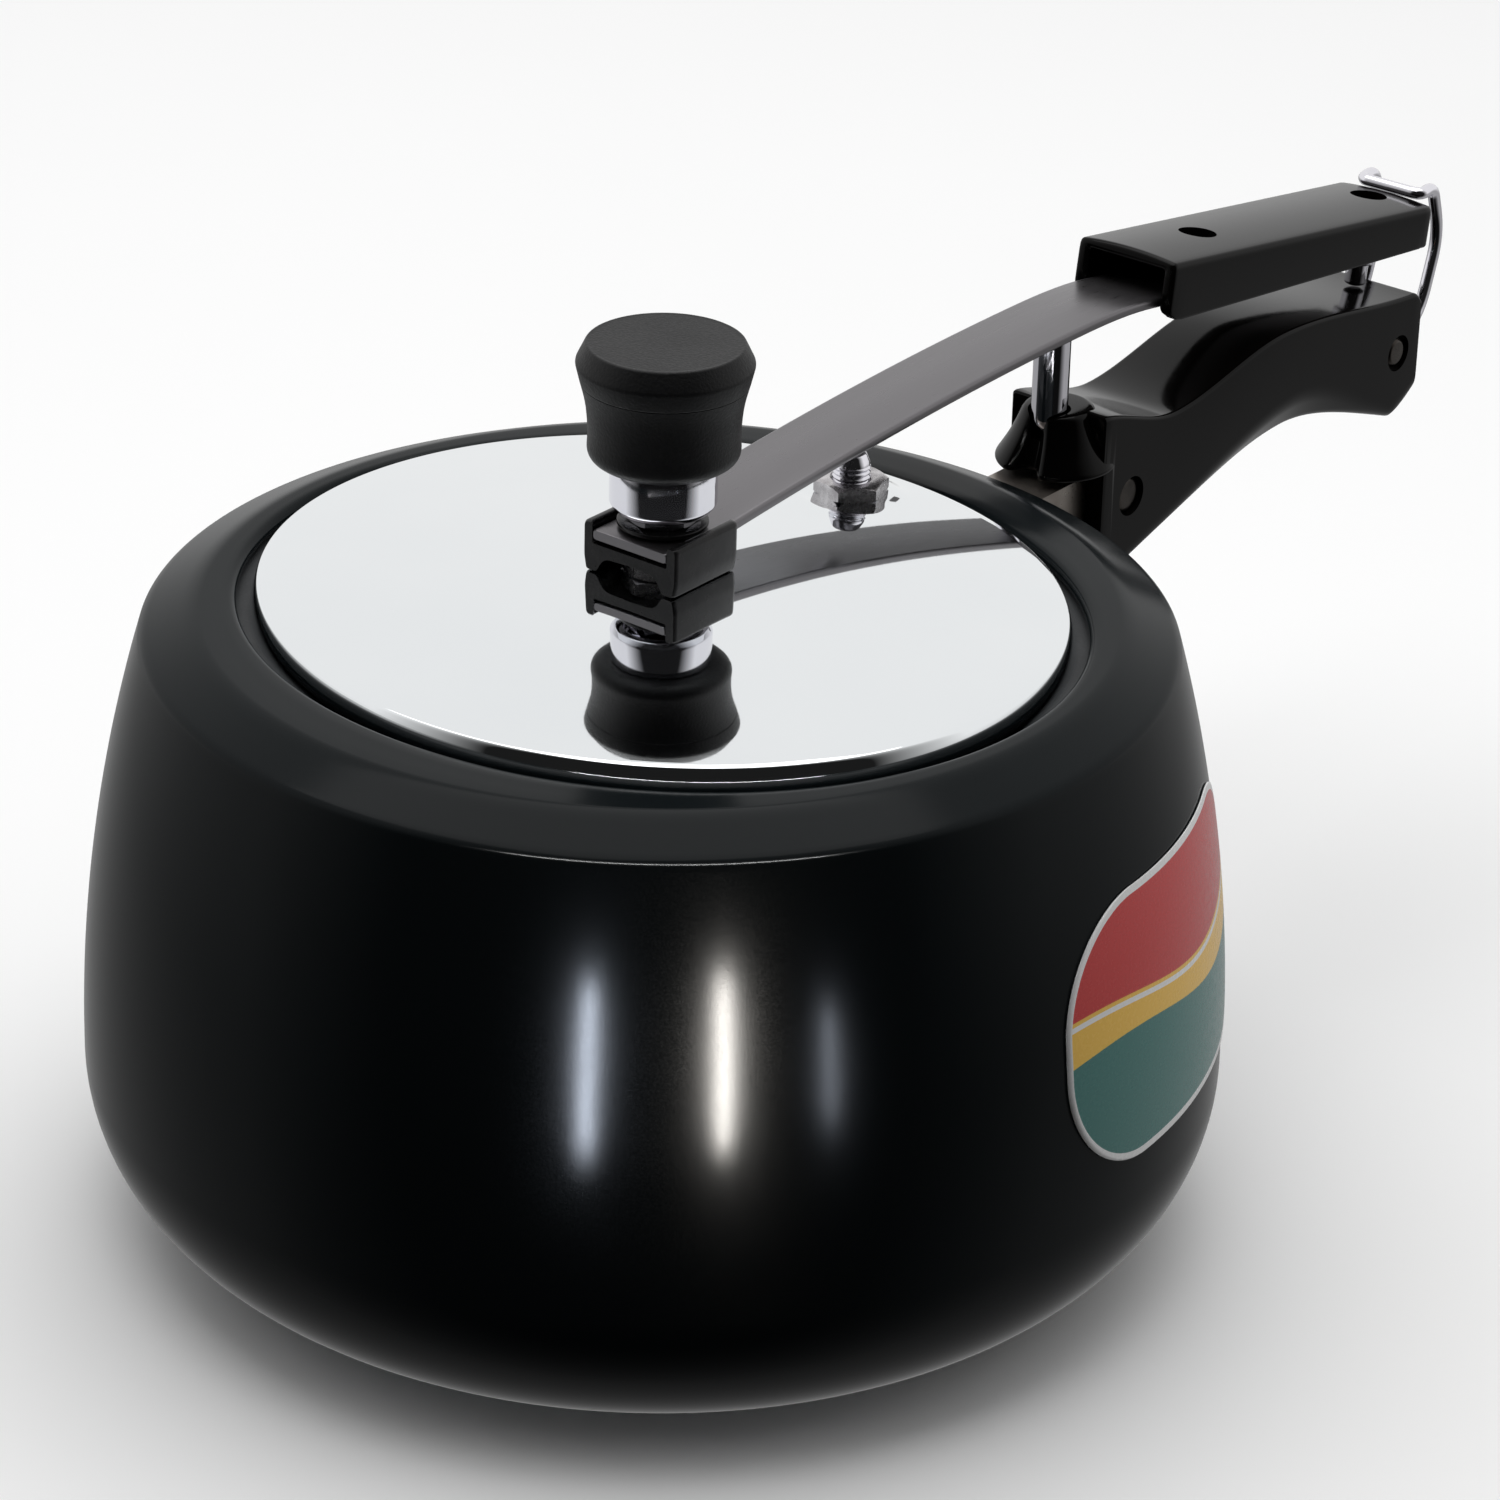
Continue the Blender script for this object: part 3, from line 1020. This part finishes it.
EYE_Y = 7.0
eyes = [sheet_object("eye", along_y(turned_ring(1.6, 3.05, -1.3, 1.3, 0.6, 48), (PIVOT[0], y, PIVOT[1])))
        for y in (-EYE_Y, EYE_Y)]
place(joined("wire_bail", [sheet_object("wire", wire_sheet(half_wire(), WIRE_R)), *eyes], crisp=50),
      chrome, "bail", "chrome", "locking_bail")

# %% [markdown]
# ## The label
# A glossy paper sticker wraps the belly. Here it carries only plain waves of colour. It is a
# sheet in its own two directions, across and up, bent round the belly's radius, and its own UV
# map carries the pattern.

# %% Label
LABEL_W, LABEL_H, LABEL_ROUND = 84.0, 49.0, 21.56
LABEL_Z = (BASE_ROUND + SHOULDER_Z) / 2 - 6.3
LABEL_A = np.radians(-74.0)
LABEL_BORDER = 1.3
FULL_TURN = 6.2832


def label_sheet(rows=61, cols=61):
    """Row v has the half width of a rounded rectangle; each point sits just off the belly."""
    v = -np.cos(np.linspace(0, np.pi, rows)) * LABEL_H / 2
    over = np.clip(np.abs(v) - (LABEL_H / 2 - LABEL_ROUND), 0, LABEL_ROUND)
    half = LABEL_W / 2 - LABEL_ROUND + np.sqrt(LABEL_ROUND**2 - over**2)
    across = np.linspace(-1, 1, cols)[None] * half[:, None]
    z = LABEL_Z + v[:, None] * np.ones(cols)
    radius = side_r(np.maximum(z, BASE_ROUND)) + 0.32
    a = LABEL_A + across / BELLY_R
    grid = np.stack([radius * np.cos(a), radius * np.sin(a), z], -1)
    uv = np.stack([across / LABEL_W + 0.5, v[:, None] / LABEL_H + 0.5 + 0 * across], -1)
    return grid, uv


def label_material():
    """White border, then red, yellow and teal bands whose edges are sine waves in u."""
    material = bpy.data.materials.new("printed sticker")
    material.use_nodes = True
    tree = material.node_tree
    link = tree.links.new
    shader = tree.nodes["Principled BSDF"]
    uv = add(tree, "ShaderNodeUVMap", uv_map="own")
    split = add(tree, "ShaderNodeSeparateXYZ")
    link(uv.outputs[0], split.inputs[0])

    def math(operation, a, b=None):
        node = add(tree, "ShaderNodeMath", operation=operation)
        for n, value in enumerate((a, b)):
            if value is None:
                continue
            if isinstance(value, (int, float)):
                node.inputs[n].default_value = value
            else:
                link(value, node.inputs[n])
        return node.outputs[0]

    def band(level, height, shift):
        wave = math("SINE", math("ADD", math("MULTIPLY", split.outputs[0], FULL_TURN), shift))
        edge = math("ADD", math("MULTIPLY", wave, height), level)
        return math("GREATER_THAN", split.outputs[1], edge)

    def mixed(mask, a, b):
        node = add(tree, "ShaderNodeMix", data_type="RGBA")
        link(mask, node.inputs["Factor"])
        for key, value in (("A", a), ("B", b)):
            if isinstance(value, tuple):
                node.inputs[key].default_value = (*value, 1)
            else:
                link(value, node.inputs[key])
        return node.outputs["Result"]

    def past_corner(socket, size):
        """How far a place lies beyond the start of the corner's round, in millimetres."""
        off = math("ABSOLUTE", math("MULTIPLY", math("SUBTRACT", socket, 0.5), size))
        return math("MAXIMUM", math("SUBTRACT", off, size / 2 - LABEL_ROUND), 0.0)

    red, yellow = (0.62, 0.008, 0.008), (1.0, 0.60, 0.070)
    teal, white = (0.022, 0.190, 0.170), (0.95, 0.95, 0.95)
    body = mixed(band(0.45, 0.05, 0.4), teal, yellow)
    body = mixed(band(0.60, 0.045, 1.0), body, red)
    line = math("MULTIPLY", band(0.565, 0.045, 1.0), math("SUBTRACT", 1.0, band(0.585, 0.045, 1.0)))
    body = mixed(line, body, white)
    dx, dy = past_corner(split.outputs[0], LABEL_W), past_corner(split.outputs[1], LABEL_H)
    reach = math("SQRT", math("ADD", math("MULTIPLY", dx, dx), math("MULTIPLY", dy, dy)))
    colour = mixed(math("GREATER_THAN", reach, LABEL_ROUND - LABEL_BORDER), body, white)
    place_node = add(tree, "ShaderNodeTexCoord")
    grain = add(tree, "ShaderNodeTexNoise")
    grain.inputs["Scale"].default_value = 900
    link(place_node.outputs["Object"], grain.inputs["Vector"])
    link(colour, shader.inputs["Base Color"])
    link(ranged(tree, grain.outputs[0], 0.20, 0.32), shader.inputs["Roughness"])
    relief = add(tree, "ShaderNodeBump")
    relief.inputs["Strength"].default_value = 0.05
    relief.inputs["Distance"].default_value = 0.00005
    link(grain.outputs[0], relief.inputs["Height"])
    link(relief.outputs[0], shader.inputs["Normal"])
    shader.inputs["Coat Weight"].default_value = 0.3
    return material


label_grid, label_uv = label_sheet()
sticker = sheet_object("wave_sticker", label_grid, wrap=False, uv=label_uv)
thick = sticker.modifiers.new("paper", "SOLIDIFY")
thick.thickness, thick.offset = 0.25 * MM, 0.0
place(sticker, label_material(), "pot", "label_print", "side_label")

# %% [markdown]
# ## CAD pieces that stay
# The bracket on the pot and its rivets have the right shape already, so they only get a finish.

# %% Dress the remaining CAD nodes
for node, material in (("body_bracket", bracket_steel), ("bracket_rivets", rivet_metal)):
    NODES[node].data.materials.clear()
    NODES[node].data.materials.append(material)
print("made", len(MADE), "pieces")

# %% [markdown]
# ## Floor, light and camera
# The floor and the surroundings are pale and plain. The surroundings are darker in front, as in
# a studio where the camera stands in a dark part of the room: the chrome gets its dark band and
# the dark pot stays dark. Long narrow lights near the camera draw the upright streaks.

# %% Floor
def floor_material():
    """Matt and almost white, with the faintest tone so that it isn't a flat colour."""
    return finish("pale floor", (0.93, 0.93, 0.93), (0.92, 0.92, 0.92), 0.85, 0.95, grain=60, tone=3,
                  bump=0.0, depth=0.0001, specular=0.0)


floor_mesh = bpy.data.meshes.new("floor")
FLOOR, FLOOR_Z = 6, -0.0004
corners = [(x * FLOOR, y * FLOOR, FLOOR_Z) for x, y in ((-1, -1), (1, -1), (1, 1), (-1, 1))]
floor_mesh.from_pydata(corners, [], [(0, 1, 2, 3)])
floor = bpy.data.objects.new("floor", floor_mesh)
bpy.context.scene.collection.objects.link(floor)
floor_mesh.materials.append(floor_material())
floor.visible_glossy = False
floor.visible_diffuse = False

# %% Camera
ELEVATION, AZIMUTH, TILT = np.radians(26.15), np.radians(52.0), np.radians(1.52)
forward = Vector((np.sin(AZIMUTH) * np.cos(ELEVATION), np.cos(AZIMUTH) * np.cos(ELEVATION),
                  -np.sin(ELEVATION)))
level = Vector((np.cos(AZIMUTH), -np.sin(AZIMUTH), 0.0))
upward = level.cross(forward)
right = level * np.cos(TILT) + upward * np.sin(TILT)
above = right.cross(forward)
camera_data = bpy.data.cameras.new("camera")
camera_data.lens, camera_data.sensor_width = 131.7, 36.0
camera_data.clip_start, camera_data.clip_end = 0.05, 30.0
camera = bpy.data.objects.new("camera", camera_data)
bpy.context.scene.collection.objects.link(camera)
spot = forward * -1.0047 + level * 0.0161 + upward * 0.0782
turn = Matrix((right, above, -forward)).transposed().to_4x4()
camera.matrix_world = Matrix.Translation(spot) @ turn
bpy.context.scene.camera = camera
print("camera at", [round(v, 3) for v in spot])


# %% Surroundings
def surroundings():
    """Brightness by direction: dim towards the camera and low down, pale everywhere else."""
    world = bpy.data.worlds.new("studio")
    bpy.context.scene.world = world
    world.use_nodes = True
    tree = world.node_tree
    back = tree.nodes["Background"]
    place_node = add(tree, "ShaderNodeTexCoord")
    front = add(tree, "ShaderNodeVectorMath", operation="DOT_PRODUCT")
    front.inputs[1].default_value = (-forward.x / np.cos(ELEVATION), -forward.y / np.cos(ELEVATION), 0.0)
    tree.links.new(place_node.outputs["Generated"], front.inputs[0])
    round_glow = ranged(tree, front.outputs["Value"], 0.92, 0.012, 0.10, 0.62)
    split = add(tree, "ShaderNodeSeparateXYZ")
    tree.links.new(place_node.outputs["Generated"], split.inputs[0])
    low_glow = ranged(tree, split.outputs[2], 0.42, 1.0, -0.30, 0.02)
    product = add(tree, "ShaderNodeMath", operation="MULTIPLY")
    tree.links.new(round_glow, product.inputs[0])
    tree.links.new(low_glow, product.inputs[1])
    glow = product.outputs[0]
    colour = add(tree, "ShaderNodeCombineColor")
    for n in range(3):
        tree.links.new(glow, colour.inputs[n])
    tree.links.new(colour.outputs[0], back.inputs["Color"])
    back.inputs["Strength"].default_value = 1.0


surroundings()


# %% Studio lights
def area_light(name, place_at, aim_at, size, power, diffuse=True, tint=(1, 1, 1)):
    """A rectangular light, hidden from the camera; a streak light only makes highlights."""
    data = bpy.data.lights.new(name, "AREA")
    data.shape, data.size, data.size_y = "RECTANGLE", size[0], size[1]
    data.energy, data.color = power, tint
    lamp = bpy.data.objects.new(name, data)
    bpy.context.scene.collection.objects.link(lamp)
    lamp.location = place_at
    aim = (Vector(aim_at) - Vector(place_at)).normalized()
    lamp.rotation_euler = aim.to_track_quat("-Z", "Y").to_euler()
    lamp.visible_camera = False
    lamp.visible_diffuse = diffuse
    return lamp


def around(angle, distance, height):
    """A place at the angle in degrees from the camera's side, seen from the pot's axis."""
    toward = -forward.x / np.cos(ELEVATION), -forward.y / np.cos(ELEVATION)
    a = np.arctan2(toward[1], toward[0]) + np.radians(angle)
    return (distance * np.cos(a), distance * np.sin(a), height)


area_light("top_softbox", (0.1, 0.15, 1.3), (0.05, 0, 0.1), (1.3, 1.3), 9.0)
streaks = [
    area_light(name, around(angle, 0.34, height), (0, 0, 0.06), (width, length), power, False, tint)
    for name, angle, height, width, length, power, tint in (
        ("left_streak", -9.5, 0.030, 0.012, 0.085, 0.75, (0.78, 0.86, 1)),
        ("right_streak", 12.5, 0.034, 0.010, 0.085, 1.45, (1, 0.96, 0.90)),
        ("faint_streak", 30.0, 0.026, 0.010, 0.055, 0.12, (0.80, 0.87, 1)))]
streaks.append(area_light("shoulder_strip", around(4, 0.75, 0.62), (0, 0, 0.11), (1.0, 0.05), 26.0, False))

# %% [markdown]
# The four narrow lights belong to the pot alone. Linking them to it keeps their streaks out of
# the mirror lid, as a flag on a stand would in the studio.

# %% Link the streaks to the pot
only_pot = bpy.data.collections.new("lit_by_streaks")
only_pot.objects.link(pot)
for lamp in streaks:
    lamp.light_linking.receiver_collection = only_pot
bpy.context.scene.view_settings.view_transform = "Standard"
